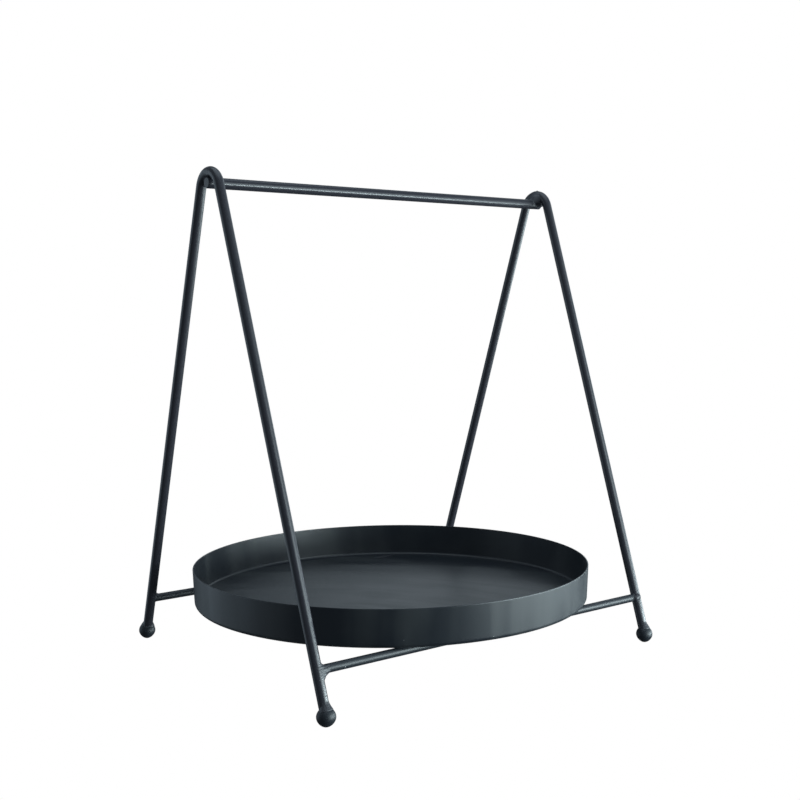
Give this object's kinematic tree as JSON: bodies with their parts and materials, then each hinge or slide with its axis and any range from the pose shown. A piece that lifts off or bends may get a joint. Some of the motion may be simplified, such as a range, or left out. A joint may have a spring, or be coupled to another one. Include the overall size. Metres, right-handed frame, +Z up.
{
  "type": "valet stand",
  "caption": "Tabletop valet stand: a round shallow tray carried between splayed A-shaped rod end frames on ball feet, with a straight rail across the top for hanging small things.",
  "frame": {"origin": "on the surface the stand rests on, below the middle of the stand", "axes": "+Z up, +X along the hanging rail from left to right, +Y from front to back"},
  "size_m": [0.2652, 0.256, 0.3],
  "materials": {
    "rod_paint": "satin blue-black paint on steel rod",
    "tray_paint": "satin blue-black paint on pressed steel sheet",
    "weld_paint": "painted weld bead"
  },
  "bodies": {
    "root": {"back_left_bar_weld": "weld_paint", "back_left_foot": "rod_paint", "back_left_foot_weld": "weld_paint", "back_left_tray_weld": "weld_paint", "back_lower_bar": "rod_paint", "back_right_bar_weld": "weld_paint", "back_right_foot": "rod_paint", "back_right_foot_weld": "weld_paint", "back_right_tray_weld": "weld_paint", "front_left_bar_weld": "weld_paint", "front_left_foot": "rod_paint", "front_left_foot_weld": "weld_paint", "front_left_tray_weld": "weld_paint", "front_lower_bar": "rod_paint", "front_right_bar_weld": "weld_paint", "front_right_foot": "rod_paint", "front_right_foot_weld": "weld_paint", "front_right_tray_weld": "weld_paint", "hanging_rail": "rod_paint", "left_end_frame": "rod_paint", "left_rail_weld": "weld_paint", "right_end_frame": "rod_paint", "right_rail_weld": "weld_paint", "tray": "tray_paint"}
  },
  "joints": []
}
